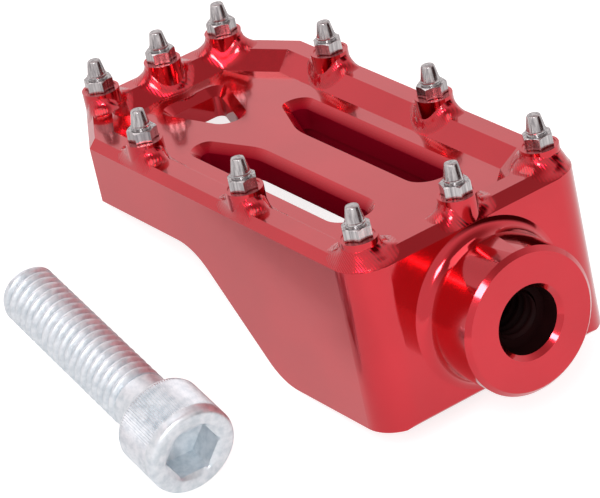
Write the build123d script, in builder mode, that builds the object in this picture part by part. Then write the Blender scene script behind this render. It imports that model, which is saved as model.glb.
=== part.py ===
from build123d import *
import math
import os

os.makedirs("parts", exist_ok=True)

# Motorcycle brake pedal: a foot pad milled from one block with a round boss at
# its end, ten screwed traction pins, and the cap screw that fixes it to the
# lever. All sizes are millimetres. The origin is the centre of the boss's end
# face. X runs out of the boss along its bore, and Z is up from the deck.

# Boss and bore
boss_length = 10.0
boss_radius = 11.4
boss_edge = 0.73
boss_root_radius = 2.4
relief_radius = 5.16
relief_depth = 4.0
relief_edge = 0.74
tapped_radius = 3.97

# Pad, seen from above
pad_length = 86.2
pad_width = 41.88
toe_width = 26.0
toe_angle = 30.0
toe_corner_radius = 2.0
end_corner_radius = 5.6

# Pad, seen from the side, with heights taken from the bore's axis
rim_height = 14.69
rim_depth = 2.63
skirt_depth = 8.06
deck_thickness = 4.8
root_depth = 13.2
root_length = 27.9
ramp_angle = 43.0
ramp_foot_radius = 10.0
ramp_head_radius = 11.0
root_edge = 0.5

# Hollow in the underside, between the skirts
skirt_width = 10.44
recess_from_toe = 3.6
recess_from_end_wall = 18.0
recess_corner_radius = 5.0

# Rim round the pocket
rim_edge_run = 1.15
rim_edge_drop = 1.45
end_edge_run = 1.9
end_edge_drop = 1.5
rim_width = 3.1
end_rim_width = 3.0
pocket_slope_run = 2.78
pocket_corner_cut = 6.1

# Two long slots and the toe hole, at their straight walls
slot_length = 40.1
slot_from_side = 10.84
slot_from_middle = 4.69
slot_from_end_wall = 18.95
slot_nose_length = 8.8
slot_nose_share = 0.379
slot_outer_corner_share = 0.78
slot_inner_corner_share = 0.25
slot_bend_radius = 10.0
toe_hole_length = 11.8
toe_hole_from_toe = 11.04
toe_hole_corner_spacing = 6.74
toe_hole_corner_radius = 1.16
toe_hole_narrow_radius = 1.75
opening_edge = 1.34

# Traction pins and the bosses that they screw into
pin_boss_radius = 2.98
pin_boss_height = 2.48
pin_foot_radius = 1.8
pocket_foot_radius = 1.1
foot_sink = 0.08
pin_seat_depth = 1.0
pin_hex_across_flats = 3.97
pin_hex_height = 3.1
pin_cone_radius = 1.57
pin_cone_sides = 24
pin_tip_radius = 1.0
pin_cone_height = 2.82
pin_shank_radius = 2.5
pin_shank_length = 6.0
pin_hole_clearance = 0.05
pin_row_pitch = 27.75
end_pin_from_wall = 4.7
end_pin_from_side = 4.46
side_pin_from_side = 3.3
toe_pin_from_toe = 4.15
toe_pin_from_corner = 1.17
middle_pin_from_wall = 3.0
pin_turns = (43.0, 1.0, 31.0, 31.0, 1.0, 43.0, 31.0, 1.0, 31.0, 1.0)

# Cap screw, lying on the surface beside the pad
screw_radius = 4.7625
screw_length = 38.1
screw_head_radius = 7.15
screw_head_height = 9.525
screw_socket_across_flats = 7.94
screw_socket_depth = 4.8
screw_tip_edge = 0.9
screw_tip_place = (-70.67, -42.88, 2.12)
screw_direction = (0.976, -0.046, -0.22)

# Places that follow from the sizes
end_wall_x = -boss_length
toe_x = end_wall_x - pad_length
floor_z = rim_height - rim_depth
skirt_z = floor_z - skirt_depth
ring_z = rim_height + pin_boss_height
seat_z = ring_z - pin_seat_depth
buried_x = end_wall_x - end_edge_run
end_edge_slope = end_edge_drop / end_edge_run
pocket_inset = rim_edge_run + rim_width + pocket_slope_run
shoulder_x = toe_x + (pad_width - toe_width) / 2 / math.tan(math.radians(toe_angle))
plan_corners = [
    (end_wall_x, -pad_width / 2),
    (end_wall_x, pad_width / 2),
    (shoulder_x, pad_width / 2),
    (toe_x, toe_width / 2),
    (toe_x, -toe_width / 2),
    (shoulder_x, -pad_width / 2),
]
end_pin_x = end_wall_x - end_pin_from_wall
toe_pin_x = toe_x + toe_pin_from_toe
pin_places = [(end_wall_x - middle_pin_from_wall, 0), (toe_pin_x, 0)]
for side in (-1, 1):
    pin_places.append((end_pin_x, side * (pad_width / 2 - end_pin_from_side)))
    side_pin_y = side * (pad_width / 2 - side_pin_from_side)
    pin_places.append((end_pin_x - pin_row_pitch, side_pin_y))
    pin_places.append((end_pin_x - 2 * pin_row_pitch, side_pin_y))
    pin_places.append((toe_pin_x, side * (toe_width / 2 - toe_pin_from_corner)))

# Side views of a pin boss's concave feet, on the rim and in the pocket, as radius
# and height above the surface. They are in flats, and start a little below it.
rim_foot, pocket_foot = [
    [
        (
            pin_boss_radius + foot_radius * (1 - math.sin(math.radians(angle))),
            foot_radius * (1 - math.cos(math.radians(angle))) - foot_sink,
        )
        for angle in (0, 45, 90)
    ]
    for foot_radius in (pin_foot_radius, pocket_foot_radius)
]

# The plan outline with its straight walls, and above them the slope of the rim's
# edge, which runs on upwards past the feet of the pin bosses
with BuildPart() as outline:
    wall_top_z = rim_height - rim_edge_drop
    with BuildSketch(Plane.XY.offset(wall_top_z)) as plan:
        Polygon(*plan_corners, align=None)
        fillet(vertices().group_by(Axis.X)[-1], end_corner_radius)
        fillet(vertices().group_by(Axis.X)[0], toe_corner_radius)
    extrude(amount=-(wall_top_z + root_depth))
    rim_edge_angle = math.degrees(math.atan(rim_edge_run / rim_edge_drop))
    extrude(plan.sketch, amount=rim_edge_drop + pin_foot_radius, taper=rim_edge_angle)

# The boss and its concave foot, turned about the bore's axis. The foot is wider
# than the end wall is high, so it is trimmed along the end wall's two edges.
with BuildPart() as boss:
    foot_x = end_wall_x - foot_sink
    foot_radius = boss_radius + boss_root_radius
    with BuildSketch(Plane.XZ):
        with BuildLine():
            Polyline(
                (foot_x, foot_radius),
                (buried_x, foot_radius),
                (buried_x, 0),
                (0, 0),
                (0, boss_radius - boss_edge),
                (-boss_edge, boss_radius),
                (foot_x + boss_root_radius, boss_radius),
            )
            RadiusArc((foot_x + boss_root_radius, boss_radius), (foot_x, foot_radius), boss_root_radius)
        make_face()
    revolve(axis=Axis.X)
    with BuildSketch(Plane.XZ):
        with BuildLine():
            Polyline(
                (buried_x, rim_height),
                (foot_x + boss_root_radius, rim_height - end_edge_drop - boss_root_radius * end_edge_slope),
                (0, boss_radius),
                (0, -boss_radius),
                (foot_x + boss_root_radius, -root_depth + root_edge + boss_root_radius),
                (end_wall_x - root_edge, -root_depth),
                (buried_x, -root_depth),
                close=True,
            )
        make_face()
    extrude(amount=pad_width / 2, both=True, mode=Mode.INTERSECT)

# What the cutter takes out of the pocket: a shape with sloped sides that goes
# round the pin bosses and leaves a concave foot at each
with BuildPart() as pocket:
    with BuildSketch(Plane.XY.offset(floor_z)):
        Polygon(*plan_corners, align=None)
        offset(amount=-pocket_inset, kind=Kind.INTERSECTION, mode=Mode.REPLACE)
        pocket_end_x = end_wall_x - end_edge_run - end_rim_width - pocket_slope_run
        floor_half_width = pad_width / 2 - pocket_inset
        cut_y = floor_half_width - pocket_corner_cut + pocket_slope_run * (2 - math.sqrt(2))
        cut_x = pocket_end_x - (floor_half_width - cut_y)
        Polygon(
            (pocket_end_x, -cut_y),
            (pocket_end_x, cut_y),
            (cut_x, floor_half_width),
            (toe_x, floor_half_width),
            (toe_x, -floor_half_width),
            (cut_x, -floor_half_width),
            align=None,
            mode=Mode.INTERSECT,
        )
    pocket_slope_angle = math.degrees(math.atan(pocket_slope_run / rim_depth))
    pocket_height = rim_depth + pin_foot_radius
    extrude(amount=pocket_height, taper=-pocket_slope_angle)
    for x, y in pin_places:
        with BuildSketch(Plane(origin=(x, y, floor_z), x_dir=(1, 0, 0), z_dir=(0, -1, 0))):
            Polygon(
                (0, -pocket_foot_radius),
                (pin_boss_radius + pocket_foot_radius, -pocket_foot_radius),
                *pocket_foot,
                (pin_boss_radius, pocket_height + pocket_foot_radius),
                (0, pocket_height + pocket_foot_radius),
                align=None,
            )
        revolve(axis=Axis((x, y, floor_z), (0, 0, 1)), mode=Mode.SUBTRACT)

with BuildPart() as pedal_body:
    # The side view, drawn out wider than the pad and run on past both its ends
    with BuildSketch(Plane.XZ):
        ramp_foot_x = end_wall_x - root_length
        ramp_head_x = ramp_foot_x - (skirt_z + root_depth) / math.tan(math.radians(ramp_angle))
        Polygon(
            (0, rim_height),
            (toe_x - boss_length, rim_height),
            (toe_x - boss_length, skirt_z),
            (ramp_head_x, skirt_z),
            (ramp_foot_x, -root_depth),
            (end_wall_x - root_edge, -root_depth),
            (0, -root_depth + root_edge + boss_length),
            align=None,
        )
        ramp_foot = vertices().sort_by_distance((ramp_foot_x, 0, -root_depth))[0]
        fillet(ramp_foot, ramp_foot_radius)
        ramp_head = vertices().sort_by_distance((ramp_head_x, 0, skirt_z))[0]
        fillet(ramp_head, ramp_head_radius)
    extrude(amount=pad_width, both=True)

    # Feet of the pin bosses on the rim, then the outline cut through all of it
    for x, y in pin_places:
        with BuildSketch(Plane(origin=(x, y, rim_height), x_dir=(1, 0, 0), z_dir=(0, -1, 0))):
            Polygon(
                (0, -rim_depth),
                (pin_boss_radius + pin_foot_radius, -rim_depth),
                *rim_foot,
                (0, pin_foot_radius - foot_sink),
                align=None,
            )
        revolve(axis=Axis((x, y, rim_height), (0, 0, 1)))
    add(outline.part, mode=Mode.INTERSECT)

    # The end wall's upper edge is cut lower than the rest of the rim's edge
    with BuildSketch(Plane.XZ):
        Polygon(
            (end_wall_x + end_edge_run, rim_height - end_edge_drop - end_edge_run * end_edge_slope),
            (buried_x - pin_boss_height / end_edge_slope, rim_height + pin_boss_height),
            (end_wall_x + end_edge_run, rim_height + pin_boss_height),
            align=None,
        )
    extrude(amount=pad_width, both=True, mode=Mode.SUBTRACT)
    add(boss.part)
    add(pocket.part, mode=Mode.SUBTRACT)

    # Hollow underside
    with BuildSketch(Plane.XY.offset(floor_z - deck_thickness)):
        recess_toe_x = toe_x + recess_from_toe
        recess_end_x = end_wall_x - recess_from_end_wall
        with Locations(((recess_toe_x + recess_end_x) / 2, 0)):
            RectangleRounded(recess_end_x - recess_toe_x, pad_width - 2 * skirt_width, recess_corner_radius)
    extrude(amount=-(floor_z - deck_thickness + root_depth + boss_length), mode=Mode.SUBTRACT)

    # Slots and toe hole, straight through the deck, with chamfered mouths
    with BuildSketch(Plane.XY.offset(floor_z)):
        slot_end_x = end_wall_x - slot_from_end_wall
        slot_toe_x = slot_end_x - slot_length
        slot_outer_y = pad_width / 2 - slot_from_side
        slot_width = slot_outer_y - slot_from_middle
        slot_nose_width = slot_nose_share * slot_width
        slot_round_x = slot_end_x - slot_width / 2
        with BuildLine():
            Polyline(
                (slot_round_x, slot_from_middle),
                (slot_toe_x + slot_nose_length, slot_from_middle),
                (slot_toe_x, slot_outer_y - slot_nose_width),
                (slot_toe_x, slot_outer_y),
                (slot_round_x, slot_outer_y),
            )
            ThreePointArc(
                (slot_round_x, slot_outer_y),
                (slot_end_x, slot_from_middle + slot_width / 2),
                (slot_round_x, slot_from_middle),
            )
        make_face()
        outer_corner = vertices().sort_by_distance((slot_toe_x, slot_outer_y, 0))[0]
        fillet(outer_corner, slot_outer_corner_share * slot_nose_width)
        inner_corner = vertices().sort_by_distance((slot_toe_x, slot_outer_y - slot_nose_width, 0))[0]
        fillet(inner_corner, slot_inner_corner_share * slot_nose_width)
        bend = vertices().sort_by_distance((slot_toe_x + slot_nose_length, slot_from_middle, 0))[0]
        fillet(bend, slot_bend_radius)
        mirror(about=Plane.XZ)
    with BuildSketch(Plane.XY.offset(floor_z)):
        with BuildLine():
            toe_hole_x = toe_x + toe_hole_from_toe
            for y in (-toe_hole_corner_spacing / 2, toe_hole_corner_spacing / 2):
                CenterArc((toe_hole_x + toe_hole_corner_radius, y), toe_hole_corner_radius, 0, 360)
            narrow_x = toe_hole_x + toe_hole_length - toe_hole_narrow_radius
            CenterArc((narrow_x, 0), toe_hole_narrow_radius, 0, 360)
        make_hull()
    extrude(amount=-(deck_thickness + opening_edge), mode=Mode.SUBTRACT)
    floor_face = faces().filter_by(Plane.XY).filter_by_position(Axis.Z, floor_z - 0.1, floor_z + 0.1)[0]
    chamfer([edge for wire in floor_face.inner_wires() for edge in wire.edges()], opening_edge)

    # Pin bosses, each with a screw hole
    with BuildSketch(Plane.XY.offset(floor_z - opening_edge)):
        with Locations(*pin_places):
            Circle(pin_boss_radius)
    extrude(amount=ring_z - floor_z + opening_edge)
    with BuildSketch(Plane.XY.offset(ring_z)):
        with Locations(*pin_places):
            Circle(pin_shank_radius + pin_hole_clearance)
    extrude(amount=-(pin_seat_depth + pin_shank_length), mode=Mode.SUBTRACT)

    # The bore: a chamfered mouth, a plain relief, and a thread through to the hollow
    with BuildSketch(Plane.XZ):
        bore_end_x = recess_end_x - recess_corner_radius
        Polygon(
            (0, 0),
            (0, relief_radius + relief_edge),
            (-relief_edge, relief_radius),
            (-relief_depth, relief_radius),
            (-relief_depth, tapped_radius),
            (bore_end_x, tapped_radius),
            (bore_end_x, 0),
            align=None,
        )
    revolve(axis=Axis.X, mode=Mode.SUBTRACT)

pedal_body.part.label = "pedal_body"
export_step(pedal_body.part, "parts/pedal_body.step")

# Traction pins: a shank screwed down to the bottom of its hole, a hexagon to turn
# it by, and a tapered tip
pin_cone_angle = math.degrees(math.atan((pin_cone_radius - pin_tip_radius) / pin_cone_height))
for number, ((x, y), turn) in enumerate(zip(pin_places, pin_turns), start=1):
    with BuildPart() as traction_pin:
        with BuildSketch(Plane((x, y, seat_z))):
            Circle(pin_shank_radius)
        extrude(amount=-pin_shank_length)
        with BuildSketch(Plane((x, y, seat_z))):
            RegularPolygon(pin_hex_across_flats / 2, 6, major_radius=False, rotation=turn)
        extrude(amount=pin_hex_height)
        with BuildSketch(Plane((x, y, seat_z + pin_hex_height))):
            RegularPolygon(pin_cone_radius, pin_cone_sides)
        extrude(amount=pin_cone_height, taper=pin_cone_angle)
    traction_pin.part.label = f"traction_pin_{number}"
    export_step(traction_pin.part, f"parts/traction_pin_{number}.step")

# The cap screw, with its axis lying along the surface that the pedal leans on
screw_plane = Plane(origin=screw_tip_place, z_dir=screw_direction)
with BuildPart() as lever_screw:
    with BuildSketch(screw_plane):
        Circle(screw_radius)
    extrude(amount=screw_length)
    chamfer(faces().sort_by_distance(screw_tip_place)[0].edges(), screw_tip_edge)
    with BuildSketch(screw_plane.offset(screw_length)):
        Circle(screw_head_radius)
    extrude(amount=screw_head_height)
    with BuildSketch(screw_plane.offset(screw_length + screw_head_height)):
        RegularPolygon(screw_socket_across_flats / 2, 6, major_radius=False)
    extrude(amount=-screw_socket_depth, mode=Mode.SUBTRACT)

lever_screw.part.label = "lever_screw"
export_step(lever_screw.part, "parts/lever_screw.step")
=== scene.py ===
import math

import bmesh
import bpy
from mathutils import Matrix, Vector


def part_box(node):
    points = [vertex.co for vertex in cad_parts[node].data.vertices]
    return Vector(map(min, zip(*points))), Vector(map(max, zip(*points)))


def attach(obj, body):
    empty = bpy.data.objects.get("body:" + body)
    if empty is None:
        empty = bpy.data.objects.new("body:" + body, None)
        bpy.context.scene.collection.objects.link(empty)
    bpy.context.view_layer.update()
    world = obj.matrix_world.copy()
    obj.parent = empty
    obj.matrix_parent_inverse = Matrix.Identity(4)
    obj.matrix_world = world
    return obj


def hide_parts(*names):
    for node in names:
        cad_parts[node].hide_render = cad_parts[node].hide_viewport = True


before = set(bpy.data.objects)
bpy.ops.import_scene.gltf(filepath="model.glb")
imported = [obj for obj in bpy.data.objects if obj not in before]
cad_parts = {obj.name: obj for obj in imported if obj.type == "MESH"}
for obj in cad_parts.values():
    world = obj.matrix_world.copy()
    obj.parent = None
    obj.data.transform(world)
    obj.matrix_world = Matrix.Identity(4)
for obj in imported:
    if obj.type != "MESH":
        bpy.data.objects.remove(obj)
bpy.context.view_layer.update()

# Shapes are drawn in millimetres and brought to metres when they are finished.
MM = 0.001

# Where the lever screw lies, as in the part: its tip and the way to its head
SCREW_TIP = Vector((-70.67, -42.88, 2.12))
SCREW_DIRECTION = Vector((0.976, -0.046, -0.22)).normalized()
SCREW_RADIUS = 4.70
SCREW_ROOT_RADIUS = 3.9
SCREW_LENGTH = 38.1
SCREW_PLAIN_LENGTH = 5.5
SCREW_TIP_RADIUS = 3.9

# One turn of a thread, as shares of its pitch and of its depth
THREAD_PITCH = 1.5875
THREAD_FORM = (
    (0.0, 0.0), (0.08, 0.0), (0.3, 0.85), (0.42, 1.0), (0.58, 1.0), (0.7, 0.85), (0.92, 0.0), (1.0, 0.0),
)
THREAD_COLUMNS = 48
TURNS_BELOW, TURNS_SPARE = 2, 4

# The screw's head: (radius, height) points from its underside, and from its top. A point
# at HEXAGON_MARK is brought in to a hexagon once it is turned.
HEXAGON_MARK = 20.0
HEAD_RADIUS = 7.14
HEAD_HEIGHT = 9.525
HEAD_COLUMNS = 216
KNURL_FROM, KNURL_TO, KNURL_DEPTH = 0.8, 7.3, 0.24
SOCKET_APOTHEM = 3.97
SOCKET_DEPTH = 4.8
SOCKET_CONE_DEPTH = 0.9
HEAD_LOWER = (
    (0.0, -5.6), (4.1, -5.6), (4.62, -5.1), (4.66, -0.5), (4.9, -0.12), (5.1, 0.0), (6.6, 0.0),
    (7.0, 0.16), (HEAD_RADIUS, 0.5), (HEAD_RADIUS, KNURL_FROM), (HEAD_RADIUS, KNURL_TO),
    (HEAD_RADIUS, 7.8),
)
HEAD_UPPER = (
    (HEAD_RADIUS, -0.75), (7.0, -0.35), (6.65, -0.08), (6.35, 0.0), (4.95, 0.0), (4.72, -0.12),
    (HEXAGON_MARK, -0.5), (HEXAGON_MARK, -SOCKET_DEPTH), (0.0, -SOCKET_DEPTH - SOCKET_CONE_DEPTH),
)

# Traction pins: how each hexagon is turned, and (radius, height) points from the top of
# the shank, from the top of the hexagon, and from the tip
PIN_TURNS = (43.0, 1.0, 31.0, 31.0, 1.0, 43.0, 31.0, 1.0, 31.0, 1.0)
PIN_NUMBERS = range(1, len(PIN_TURNS) + 1)
PIN_COLUMNS = 96
PIN_SHANK_LENGTH = 6.0
PIN_HEX_APOTHEM = 2.07
PIN_HEX_HEIGHT = 2.95
PIN_HEX_TOP_RADIUS = 2.03
PIN_HEX_BEVEL = 0.62
PIN_SHANK = ((0.0, -5.95), (2.47, -5.95), (2.47, -0.12), (2.36, 0.0))
PIN_COLLAR = ((1.44, 0.0), (1.38, 0.06), (1.38, 0.24), (1.50, 0.3), (1.58, 0.4), (1.58, 0.56), (1.46, 0.68))
PIN_TIP = ((1.06, -0.22), (0.98, -0.07), (0.8, 0.0), (0.0, 0.0))

# The pad's walls and the pocket's floor, as sides that face out and their distance
# from the origin, and the heights and runs of the slopes between them
RIM_Z, FLOOR_Z = 14.69, 12.06
WALLS = ((0, 1, 20.94), (0, -1, 20.94), (-1, 0, 96.2), (-0.5, 0.866, 59.358), (-0.5, -0.866, 59.358))
POCKET_SIDES = (
    (0, 1, 13.91), (0, -1, 13.91), (-1, 0, 89.17), (-0.5, 0.866, 52.328), (-0.5, -0.866, 52.328),
    (1, 0, -17.68), (0.7071, 0.7071, -5.828), (0.7071, -0.7071, -5.828),
)
POCKET_SLOPE_RUN = 2.78
RIM_EDGE_RUN, RIM_EDGE_DROP = 1.15, 1.45
END_WALL_X, END_EDGE_RUN, END_EDGE_DROP = -10.0, 1.9, 1.5
END_CORNER_RADIUS = 5.6

# Concave feet of the pin bosses: how far out and up they reach on the rim and the floor,
# how near a wall they fade, and how far around a point the ground below them is evened
BOSS_RADIUS = 2.98
RIM_FOOT = (2.9, 2.05)
FLOOR_FOOT = (1.2, 1.3)
FOOT_OVERLAP = 0.25
FOOT_THICKNESS = 2.5
FOOT_SINK = 0.03
FOOT_FADE = 0.9
FOOT_BLEND = 1.1
BLEND_TURNS = (0.0, 1.05, 2.09, 3.14, 4.19, 5.24)
FOOT_ROWS = 14
FOOT_COLUMNS = 96
WALL_CLEARANCE = 0.02

# The rings in the bosses' tops, close around the hexagons
SEAT_INNER_RADIUS, SEAT_OUTER_RADIUS = 2.1, 2.6
SEAT_HEIGHT, SEAT_THICKNESS = 0.85, 0.4

# The bore's plain relief and its thread, along X from the boss's end face
RELIEF_RADIUS, RELIEF_FROM, RELIEF_TO = 5.12, -0.78, -3.94
BORE_ROOT_RADIUS, BORE_CREST_RADIUS, BORE_FROM, BORE_TO = 3.93, 3.3, -27.9, -3.97
RELIEF_INNER_RADIUS = 3.83
RELIEF_COLUMNS = 96

# Where the pad's cuts lie, in which shade is painted as a deeper, dull red: an axis, and where
# along it the change begins and ends
CUTS = (
    ("Z", 11.9, 10.6), ("Y", -16.0, -15.0), ("Y", 16.0, 15.0), ("X", -77.0, -75.0), ("X", -15.5, -16.5),
)
# The colour of the painted shade inside the cuts
CUT_SHADE_RED = (0.20, 0.001, 0.010, 1.0)

# The surface that the pedal leans on, resting on its root and its toe. It glows a little
# more from its toe end to its boss end, and more still to the camera.
SURFACE_POINT = Vector((-96.2, 0.0, 3.98)) * MM
SURFACE_NORMAL = Vector((0.2719, 0.0, 0.9623)).normalized()
SURFACE_SIZE = 3.0
GLOW_FROM_X, GLOW_TO_X = -0.08, 0.06
GLOW_LOW, GLOW_HIGH, GLOW_TO_CAMERA = 0.28, 0.55, 0.8
WHITE = (1.0, 1.0, 1.0, 1.0)

# The photograph's camera
CAMERA_PLACE = Vector((0.42466, -0.27136, 0.27391))
CAMERA_TURN = (62.615, 11.187, 55.095)
CAMERA_LENS = 240.58
SENSOR_WIDTH = 36.0

# Lighting: how bright the surround is by its height, and toward the dark room beside the
# pad, and the soft lights: direction, distance, size and radiance
SURROUND = ((0.50, 0.88), (0.78, 0.52), (0.88, 0.34))
ROOM_DIRECTION = Vector((0.74, 0.66, -0.06)).normalized()
ROOM = ((0.82, 1.0), (0.93, 0.05))
WARMTH = 1.5
PAD_MIDDLE = Vector((-0.045, -0.01, 0.0))
LIGHTS = {
    "key": ((0.63, -0.46, 0.63), 1.2, 0.34, 15.0),
    "overhead": ((-0.35, -0.1, 1.0), 1.4, 1.1, 1.3),
}


# Materials

def feed(tree, node, name, value):
    """Link an output to a node's input, or set the input to a constant."""
    if isinstance(value, bpy.types.NodeSocket):
        tree.links.new(value, node.inputs[name])
    else:
        node.inputs[name].default_value = value


def new_material(name, **inputs):
    """A node material with the given constants on its Principled shader, and its node tree."""
    material = bpy.data.materials.new(name)
    material.use_nodes = True
    tree = material.node_tree
    shader = tree.nodes["Principled BSDF"]
    for key, value in inputs.items():
        feed(tree, shader, key.replace("_", " "), value)
    return material, tree, shader


def object_place(tree):
    """Object coordinates."""
    return tree.nodes.new("ShaderNodeTexCoord").outputs["Object"]


def axis_parts(tree, place):
    """The X, Y and Z of a place or a direction."""
    parts = tree.nodes.new("ShaderNodeSeparateXYZ")
    feed(tree, parts, "Vector", place)
    return parts.outputs


def object_noise(tree, scale, detail, stretch=(1.0, 1.0, 1.0)):
    """Noise in Object coordinates, with the pattern stretched along the axes."""
    mapping = tree.nodes.new("ShaderNodeMapping")
    feed(tree, mapping, "Scale", stretch)
    feed(tree, mapping, "Vector", object_place(tree))
    noise = tree.nodes.new("ShaderNodeTexNoise")
    feed(tree, noise, "Scale", scale)
    feed(tree, noise, "Detail", detail)
    feed(tree, noise, "Vector", mapping.outputs["Vector"])
    return noise.outputs["Fac"]


def spread(tree, source, low, high, start=0.0, end=1.0):
    """Map what lies between start and end to the range from low to high."""
    node = tree.nodes.new("ShaderNodeMapRange")
    feed(tree, node, "From Min", start)
    feed(tree, node, "From Max", end)
    feed(tree, node, "To Min", low)
    feed(tree, node, "To Max", high)
    feed(tree, node, "Value", source)
    return node.outputs["Result"]


def ramp(tree, source, stops):
    """A colour for each position of the source."""
    node = tree.nodes.new("ShaderNodeValToRGB")
    while len(node.color_ramp.elements) < len(stops):
        node.color_ramp.elements.new(0.5)
    for element, (position, colour) in zip(node.color_ramp.elements, stops):
        element.position = position
        element.color = colour
    feed(tree, node, "Fac", source)
    return node.outputs["Color"]


def mix(tree, kind, factor, first, second, blend="MIX"):
    """Go from the first to the second by a factor, or blend them another way."""
    node = tree.nodes.new("ShaderNodeMix")
    node.data_type = kind
    node.blend_type = blend
    feed(tree, node, "Factor", factor)
    feed(tree, node, "A", first)
    feed(tree, node, "B", second)
    return node.outputs["Result"]


def to_camera(tree):
    """1 for what the camera sees directly, and 0 for what lights or mirrors."""
    return tree.nodes.new("ShaderNodeLightPath").outputs["Is Camera Ray"]


def add_bump(tree, shader, height, distance, strength):
    """Bump by a height pattern, the distance given in metres."""
    bump = tree.nodes.new("ShaderNodeBump")
    feed(tree, bump, "Distance", distance)
    feed(tree, bump, "Strength", strength)
    feed(tree, bump, "Height", height)
    feed(tree, shader, "Normal", bump.outputs["Normal"])


def red_oxide(name, low, high):
    """Bright dipped aluminium under a clear red oxide, with its roughness between two values."""
    material, tree, shader = new_material(
        name, Metallic=1.0, Coat_Weight=1.0, Coat_IOR=1.55, Coat_Roughness=0.08,
    )
    cloud = object_noise(tree, 60.0, 3.0)
    red = ramp(tree, cloud, ((0.3, (0.56, 0.004, 0.016, 1.0)), (0.7, (0.64, 0.007, 0.022, 1.0))))
    feed(tree, shader, "Base Color", red)
    mottle = object_noise(tree, 700.0, 4.0)
    feed(tree, shader, "Roughness", spread(tree, mottle, low, high))
    return material, tree, shader, red


def painted_shade_in_cuts(tree):
    """Where shade is painted in the pad's cuts: 1 inside the slots and the hollow underside, and 0 outside
    them.
    """
    parts = axis_parts(tree, object_place(tree))
    inside = 1.0
    for axis, outer, inner in CUTS:
        both = tree.nodes.new("ShaderNodeMath")
        both.operation = "MULTIPLY"
        feed(tree, both, 0, spread(tree, parts[axis], 0.0, 1.0, outer * MM, inner * MM))
        feed(tree, both, 1, inside)
        inside = both.outputs["Value"]
    return inside


def anodised_material():
    """The pad's faces, with faint grain, and painted shade inside its cuts: a deeper red, without metal or
    coat.
    """
    material, tree, shader, red = red_oxide("anodised_red", 0.09, 0.19)
    inside = painted_shade_in_cuts(tree)
    feed(tree, shader, "Base Color", mix(tree, "RGBA", inside, red, CUT_SHADE_RED))
    # The painted shade in the cuts is dull, with no metal or coat reflecting there
    for name in ("Coat Weight", "Metallic"):
        feed(tree, shader, name, spread(tree, inside, 1.0, 0.0))
    feed(tree, shader, "IOR", 1.02)
    grain = object_noise(tree, 900.0, 2.0, (0.15, 1.0, 1.0))
    add_bump(tree, shader, grain, 0.000004, 0.35)
    return material


def tooled_material():
    """The pin bosses' feet, where the cutter left a fine step at each pass."""
    material, tree, shader, _ = red_oxide("anodised_red_tooled", 0.16, 0.26)
    steps = tree.nodes.new("ShaderNodeTexWave")
    steps.bands_direction = "DIAGONAL"
    feed(tree, steps, "Scale", 1050.0)
    feed(tree, steps, "Distortion", 0.4)
    feed(tree, steps, "Vector", object_place(tree))
    add_bump(tree, shader, steps.outputs["Fac"], 0.000045, 0.6)
    return material


def bore_shade_material():
    """The inside of the bore, painted nearly black and dull as the shade deep in it."""
    material, tree, shader = new_material("bore_painted_shade", Specular_IOR_Level=0.12)
    cloud = object_noise(tree, 500.0, 3.0)
    # Painted shade: a nearly black red for the deep bore
    dark = ramp(tree, cloud, ((0.0, (0.005, 0.0004, 0.0006, 1.0)), (1.0, (0.016, 0.0006, 0.001, 1.0))))
    feed(tree, shader, "Base Color", dark)
    feed(tree, shader, "Roughness", spread(tree, cloud, 0.6, 0.8))
    return material


def stainless_material():
    """Turned stainless steel, with streaks along each pin: grain, and dark bands that are painted
    reflections of the dark surround.
    """
    material, tree, shader = new_material("turned_stainless", Metallic=1.0)
    streaks = object_noise(tree, 2600.0, 3.0, (1.0, 1.0, 0.06))
    # In the colour the dark streaks are painted reflections; the same streaks in roughness and bump are
    # grain
    steel = ramp(tree, streaks, ((0.3, (0.30, 0.29, 0.30, 1.0)), (0.65, (0.66, 0.65, 0.65, 1.0))))
    feed(tree, shader, "Base Color", steel)
    feed(tree, shader, "Roughness", spread(tree, streaks, 0.12, 0.3))
    add_bump(tree, shader, streaks, 0.00002, 0.4)
    return material


def zinc_material():
    """Bright zinc plate, a little blue and slightly milky."""
    material, tree, shader = new_material("bright_zinc", Metallic=0.8)
    cloud = object_noise(tree, 900.0, 5.0)
    zinc = ramp(tree, cloud, ((0.32, (0.64, 0.72, 0.77, 1.0)), (0.62, (0.83, 0.89, 0.93, 1.0))))
    feed(tree, shader, "Base Color", zinc)
    feed(tree, shader, "Roughness", spread(tree, cloud, 0.36, 0.5))
    speckle = object_noise(tree, 1900.0, 3.0)
    add_bump(tree, shader, speckle, 0.00008, 0.5)
    return material


def floor_material():
    """A pale matt surface that keeps the shadows light."""
    material, tree, shader = new_material(
        "pale_floor", Base_Color=(0.5, 0.5, 0.5, 1.0), Roughness=0.9, Specular_IOR_Level=0.1,
        Emission_Color=WHITE,
    )
    along = axis_parts(tree, object_place(tree))["X"]
    glow = spread(tree, along, GLOW_LOW, GLOW_HIGH, GLOW_FROM_X, GLOW_TO_X)
    feed(tree, shader, "Emission Strength", mix(tree, "FLOAT", to_camera(tree), glow, GLOW_TO_CAMERA))
    return material


# Shapes

def turned(profile, steps, turns=1, rise=0.0, closed=False):
    """The profile's (radius, height) points, turned about Z and raised by rise in a turn."""
    bm = bmesh.new()
    verts = [bm.verts.new((radius, 0.0, height)) for radius, height in profile]
    pairs = list(zip(verts, verts[1:]))
    if closed:
        pairs.append((verts[-1], verts[0]))
    edges = [bm.edges.new(pair) for pair in pairs]
    bmesh.ops.spin(
        bm, geom=verts + edges, cent=(0, 0, 0), axis=(0, 0, 1), dvec=(0, 0, rise / steps),
        angle=math.tau * turns, steps=steps * turns, use_merge=rise == 0, use_duplicate=False,
    )
    bmesh.ops.remove_doubles(bm, verts=bm.verts, dist=0.0005)
    return bm


def raised(points, height):
    """A profile's points, moved up."""
    return [(radius, height + point) for radius, point in points]


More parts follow.
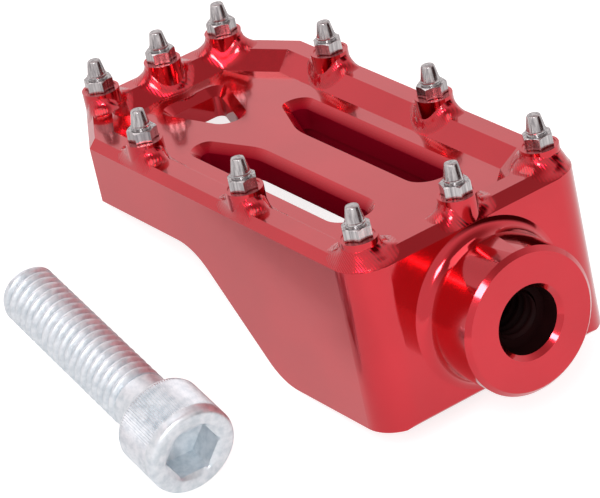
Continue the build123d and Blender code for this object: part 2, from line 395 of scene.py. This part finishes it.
def set_radius(vert, radius):
    """Move a point toward or away from Z."""
    angle = math.atan2(vert.co.y, vert.co.x)
    vert.co.x, vert.co.y = radius * math.cos(angle), radius * math.sin(angle)


def at_hexagon_mark(vert):
    return vert.co.xy.length > HEXAGON_MARK - 1


def hexagon_radius(vert, apothem):
    """How far from Z a hexagon's side lies in the direction of a point."""
    angle = math.atan2(vert.co.y, vert.co.x)
    return apothem / math.cos(angle % math.radians(60) - math.radians(30))


def trim(bm, height, side, close):
    """Cut off what lies beyond the height, above it (side 1) or below it (side -1)."""
    geom = list(bm.verts) + list(bm.edges) + list(bm.faces)
    bmesh.ops.bisect_plane(bm, geom=geom, plane_co=(0, 0, height), plane_no=(0, 0, side), clear_outer=True)
    if close:
        rim = [e for e in bm.edges if e.is_boundary and all(abs(v.co.z - height) < 0.001 for v in e.verts)]
        bmesh.ops.holes_fill(bm, edges=rim, sides=0)


def join_into(bm, other):
    """Add the other bmesh's shape to bm."""
    mesh = bpy.data.meshes.new("joined")
    other.to_mesh(mesh)
    other.free()
    bm.from_mesh(mesh)
    bpy.data.meshes.remove(mesh)


def finish_piece(bm, name, matrix, material, sharp):
    """Bring the shape to its place in metres and hand it to the frame."""
    bmesh.ops.transform(bm, matrix=Matrix.Scale(MM, 4) @ matrix, verts=bm.verts)
    bmesh.ops.recalc_face_normals(bm, faces=bm.faces)
    for face in bm.faces:
        face.smooth = True
    mesh = bpy.data.meshes.new(name)
    bm.to_mesh(mesh)
    bm.free()
    mesh.set_sharp_from_angle(angle=math.radians(sharp))
    mesh.materials.append(material)
    piece = bpy.data.objects.new(name, mesh)
    bpy.context.collection.objects.link(piece)
    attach(piece, "root")
    return piece


def pin_place(number):
    """The middle of a pin, and the heights of its shank's top and of its tip."""
    low, high = (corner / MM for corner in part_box(f"traction_pin_{number}"))
    centre = Vector(((low.x + high.x) / 2, (low.y + high.y) / 2))
    return centre, low.z + PIN_SHANK_LENGTH, high.z


def make_pin(number, material):
    """A traction pin with a bevelled hexagon, a groove, a collar and a tapered tip."""
    centre, shank_top, tip = pin_place(number)
    hexagon = [(HEXAGON_MARK, 0.0), (HEXAGON_MARK, PIN_HEX_HEIGHT), (PIN_HEX_TOP_RADIUS, PIN_HEX_HEIGHT)]
    collar = raised(PIN_COLLAR, PIN_HEX_HEIGHT)
    bm = turned([*PIN_SHANK, *hexagon, *collar, *raised(PIN_TIP, tip - shank_top)], PIN_COLUMNS)
    for vert in bm.verts:
        if at_hexagon_mark(vert):
            radius = hexagon_radius(vert, PIN_HEX_APOTHEM)
            set_radius(vert, radius)
            if vert.co.z > PIN_HEX_HEIGHT / 2:
                vert.co.z -= PIN_HEX_BEVEL * (radius - PIN_HEX_TOP_RADIUS)
    turn = Matrix.Rotation(math.radians(PIN_TURNS[number - 1]), 4, "Z")
    matrix = Matrix.Translation((*centre, shank_top)) @ turn
    pin = finish_piece(bm, f"turned_pin_{number}", matrix, material, 25.0)
    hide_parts(f"traction_pin_{number}")


def thread(root, crest, low, high, close):
    """A helical thread about Z. In a bore the crest lies inside the root."""
    turns = int((high - low) / THREAD_PITCH) + TURNS_SPARE
    profile = [
        (root + depth * (crest - root), low + (part - TURNS_BELOW) * THREAD_PITCH)
        for part, depth in THREAD_FORM
    ]
    bm = turned(profile, THREAD_COLUMNS, turns, THREAD_PITCH)
    trim(bm, low, -1, close)
    trim(bm, high, 1, close)
    return bm


def make_screw(material):
    """The cap screw, with its thread, knurled head and hexagon socket."""
    bm = thread(SCREW_ROOT_RADIUS, SCREW_RADIUS, 0.0, SCREW_LENGTH - SCREW_PLAIN_LENGTH, True)
    for vert in bm.verts:
        limit = SCREW_TIP_RADIUS + vert.co.z
        if vert.co.xy.length > limit:
            set_radius(vert, limit)
    upper = raised(HEAD_UPPER, SCREW_LENGTH + HEAD_HEIGHT)
    head = turned(raised(HEAD_LOWER, SCREW_LENGTH) + upper, HEAD_COLUMNS)
    for vert in head.verts:
        height = vert.co.z - SCREW_LENGTH
        column = round(math.atan2(vert.co.y, vert.co.x) * HEAD_COLUMNS / math.tau)
        if at_hexagon_mark(vert):
            set_radius(vert, hexagon_radius(vert, SOCKET_APOTHEM))
        elif KNURL_FROM - 0.01 < height < KNURL_TO + 0.01 and column % 2:
            set_radius(vert, vert.co.xy.length - KNURL_DEPTH)
    join_into(bm, head)
    turn = SCREW_DIRECTION.to_track_quat("Z", "Y").to_matrix().to_4x4()
    matrix = Matrix.Translation(SCREW_TIP) @ turn
    screw = finish_piece(bm, "cap_screw", matrix, material, 42.0)
    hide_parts("lever_screw")


def clamped(value):
    return min(max(value, 0.0), 1.0)


def pocket_share(x, y):
    """0 on the pocket's floor, 1 on the rim and between them on the pocket's slope."""
    reach = max(nx * x + ny * y - far for nx, ny, far in POCKET_SIDES)
    return clamped(reach / POCKET_SLOPE_RUN)


def wall_depth(x, y):
    """How far a point lies inside the pad's side and toe walls, and inside its end wall."""
    side = min(far - nx * x - ny * y for nx, ny, far in WALLS)
    corner_x = END_WALL_X - END_CORNER_RADIUS
    corner_y = WALLS[0][2] - END_CORNER_RADIUS
    if x > corner_x and abs(y) > corner_y:
        side = min(side, END_CORNER_RADIUS - math.hypot(x - corner_x, abs(y) - corner_y))
    return side, END_WALL_X - x


def ground_height(x, y):
    """Height of the pocket, the rim or its sloped outer edges at a point."""
    side, end = wall_depth(x, y)
    return min(
        FLOOR_Z + (RIM_Z - FLOOR_Z) * pocket_share(x, y),
        RIM_Z + (side - RIM_EDGE_RUN) * RIM_EDGE_DROP / RIM_EDGE_RUN,
        RIM_Z + (end - END_EDGE_RUN) * END_EDGE_DROP / END_EDGE_RUN,
    )


def foot_height(x, y, out):
    """Height of a concave foot at a point that lies so far out from the pin boss."""
    share = pocket_share(x, y)
    run, rise = (low + (high - low) * share for low, high in zip(FLOOR_FOOT, RIM_FOOT))
    near = clamped(1 - out / run)
    fade = clamped(min(wall_depth(x, y)) / FOOT_FADE)
    blend = FOOT_BLEND * near * fade
    ground = sum(
        ground_height(x + blend * math.cos(turn), y + blend * math.sin(turn)) for turn in BLEND_TURNS
    ) / len(BLEND_TURNS)
    return ground + rise * (1 - math.sqrt(1 - near * near)) * fade - FOOT_SINK


def foot_reach(centre, angle):
    """How far out a foot may go from its pin's centre before it meets a wall."""
    way = Vector((math.cos(angle), math.sin(angle)))
    reach = BOSS_RADIUS - FOOT_OVERLAP
    while reach < BOSS_RADIUS + RIM_FOOT[0]:
        if min(wall_depth(*(centre + way * (reach + WALL_CLEARANCE)))) < WALL_CLEARANCE:
            break
        reach += WALL_CLEARANCE
    return reach


def make_foot(centre):
    """One concave foot: a turned band that is laid over the ground around a boss."""
    step = math.tau / FOOT_COLUMNS
    inner = BOSS_RADIUS - FOOT_OVERLAP
    reaches = [foot_reach(centre, column * step) for column in range(FOOT_COLUMNS)]
    band = [(1.0 + row / FOOT_ROWS, 1.0) for row in range(FOOT_ROWS + 1)]
    foot = turned(band + [(2.0, 0.0), (1.0, 0.0)], FOOT_COLUMNS, closed=True)
    for vert in foot.verts:
        column = round(math.atan2(vert.co.y, vert.co.x) / step) % FOOT_COLUMNS
        out = inner + (reaches[column] - inner) * (vert.co.xy.length - 1.0)
        x, y = centre + vert.co.xy.normalized() * out
        height = foot_height(x, y, out - BOSS_RADIUS)
        vert.co = (x, y, height if vert.co.z > 0.5 else height - FOOT_THICKNESS)
    return foot


def make_feet(material):
    """The pin bosses' feet, and the rings in their tops close around the hexagons."""
    bm = bmesh.new()
    for number in PIN_NUMBERS:
        centre, shank_top, _ = pin_place(number)
        join_into(bm, make_foot(centre))
        ring = turned([
            (SEAT_INNER_RADIUS, 0.0), (SEAT_OUTER_RADIUS, 0.0),
            (SEAT_OUTER_RADIUS, -SEAT_THICKNESS), (SEAT_INNER_RADIUS, -SEAT_THICKNESS),
        ], FOOT_COLUMNS, closed=True)
        place = Matrix.Translation((*centre, shank_top + SEAT_HEIGHT))
        bmesh.ops.transform(ring, matrix=place, verts=ring.verts)
        join_into(bm, ring)
    finish_piece(bm, "pin_boss_feet", Matrix.Identity(4), material, 60.0)


def make_bore(material):
    """The bore's relief and thread, painted nearly black as the shade inside the boss."""
    bm = thread(BORE_ROOT_RADIUS, BORE_CREST_RADIUS, BORE_FROM, BORE_TO, False)
    relief = [(RELIEF_RADIUS, RELIEF_FROM), (RELIEF_RADIUS, RELIEF_TO), (RELIEF_INNER_RADIUS, RELIEF_TO)]
    join_into(bm, turned(relief, RELIEF_COLUMNS))
    matrix = Matrix.Rotation(math.radians(90), 4, "Y")
    finish_piece(bm, "bore_wall", matrix, material, 30.0)


def finish_node(name, material):
    """Give a CAD node its material."""
    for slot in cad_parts[name].material_slots:
        slot.material = material


# Studio

def make_floor():
    """A wide pale plane, the surface that the pedal leans on."""
    mesh = bpy.data.meshes.new("floor")
    bm = bmesh.new()
    bmesh.ops.create_grid(bm, x_segments=1, y_segments=1, size=SURFACE_SIZE / 2)
    turn = SURFACE_NORMAL.to_track_quat("Z", "Y").to_matrix().to_4x4()
    bmesh.ops.transform(bm, matrix=Matrix.Translation(SURFACE_POINT) @ turn, verts=bm.verts)
    bm.to_mesh(mesh)
    bm.free()
    mesh.materials.append(floor_material())
    floor = bpy.data.objects.new("floor", mesh)
    bpy.context.collection.objects.link(floor)


def make_camera():
    """The photograph's camera, solved from the pad's corners and its pins."""
    data = bpy.data.cameras.new("camera")
    data.lens = CAMERA_LENS
    data.sensor_width = SENSOR_WIDTH
    data.clip_start = 0.01
    data.clip_end = 20.0
    camera = bpy.data.objects.new("camera", data)
    camera.location = CAMERA_PLACE
    camera.rotation_euler = [math.radians(angle) for angle in CAMERA_TURN]
    bpy.context.collection.objects.link(camera)
    bpy.context.scene.camera = camera


def warm(stops):
    """A colour for each grey, warmer where it is dark."""
    return [(position, (grey, grey ** WARMTH, grey ** WARMTH, 1.0)) for position, grey in stops]


def make_world():
    """A bright low surround that dims overhead, with a dark room beside it, white to the camera."""
    world = bpy.data.worlds.new("studio")
    bpy.context.scene.world = world
    world.use_nodes = True
    tree = world.node_tree
    place = tree.nodes.new("ShaderNodeTexCoord").outputs["Generated"]
    surround = ramp(tree, axis_parts(tree, place)["Z"], warm(SURROUND))
    facing = tree.nodes.new("ShaderNodeVectorMath")
    facing.operation = "DOT_PRODUCT"
    feed(tree, facing, 0, place)
    feed(tree, facing, 1, ROOM_DIRECTION)
    room = ramp(tree, facing.outputs["Value"], warm(ROOM))
    lit = mix(tree, "RGBA", 1.0, surround, room, "MULTIPLY")
    background = tree.nodes["Background"]
    feed(tree, background, "Color", mix(tree, "RGBA", to_camera(tree), lit, WHITE))
    feed(tree, background, "Strength", 1.0)


def area_light(name, direction, distance, size, radiance):
    """A square soft light at a distance from the pad, facing it."""
    data = bpy.data.lights.new(name, "AREA")
    data.shape = "SQUARE"
    data.size = size
    data.energy = radiance * math.pi * size * size
    light = bpy.data.objects.new(name, data)
    way = Vector(direction).normalized()
    light.location = PAD_MIDDLE + way * distance
    light.rotation_euler = way.to_track_quat("Z", "Y").to_euler()
    bpy.context.collection.objects.link(light)


finish_node("pedal_body", anodised_material())
stainless = stainless_material()
for number in PIN_NUMBERS:
    make_pin(number, stainless)
make_screw(zinc_material())
make_feet(tooled_material())
make_bore(bore_shade_material())

make_floor()
make_camera()
make_world()
for name, values in LIGHTS.items():
    area_light(name, *values)
bpy.context.scene.view_settings.view_transform = "Standard"
